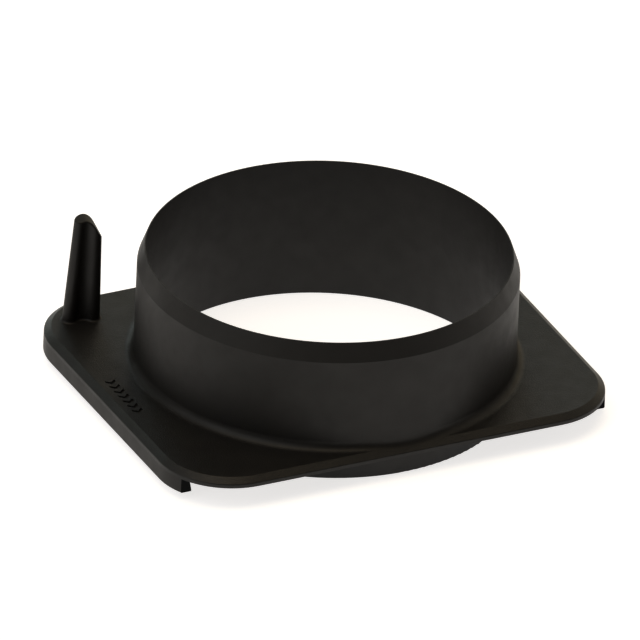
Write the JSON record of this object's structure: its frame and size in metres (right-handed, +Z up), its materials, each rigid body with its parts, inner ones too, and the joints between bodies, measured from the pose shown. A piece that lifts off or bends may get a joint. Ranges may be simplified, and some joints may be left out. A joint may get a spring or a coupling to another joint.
{
  "type": "waste disposal throat adapter plate",
  "caption": "Black moulded slide-in plate with a round throat collar through it, dovetail slide rails under its sides and an upright locating post at one corner.",
  "frame": {"origin": "on the collar's axis, in the plane of the spigot's bottom rim, on which the part stands", "axes": "+Z up along the collar's axis towards the chamfered rim; +X from the left rail to the right rail, along the plate's longer side; +Y to the rear, where the corner post stands"},
  "size_m": [0.1216, 0.1006, 0.038],
  "materials": {
    "plate_plastic": "fine spark-eroded grain, semi-matt",
    "collar_plastic": "smooth, satin",
    "rail_plastic": "smooth, satin",
    "post_plastic": "smooth, satin",
    "screw_steel": "zinc plated"
  },
  "bodies": {
    "root": {"base_plate": "plate_plastic", "collar": "collar_plastic", "left_rail": "rail_plastic", "right_rail": "rail_plastic", "corner_post": "post_plastic", "post_screw": "screw_steel"}
  },
  "joints": []
}
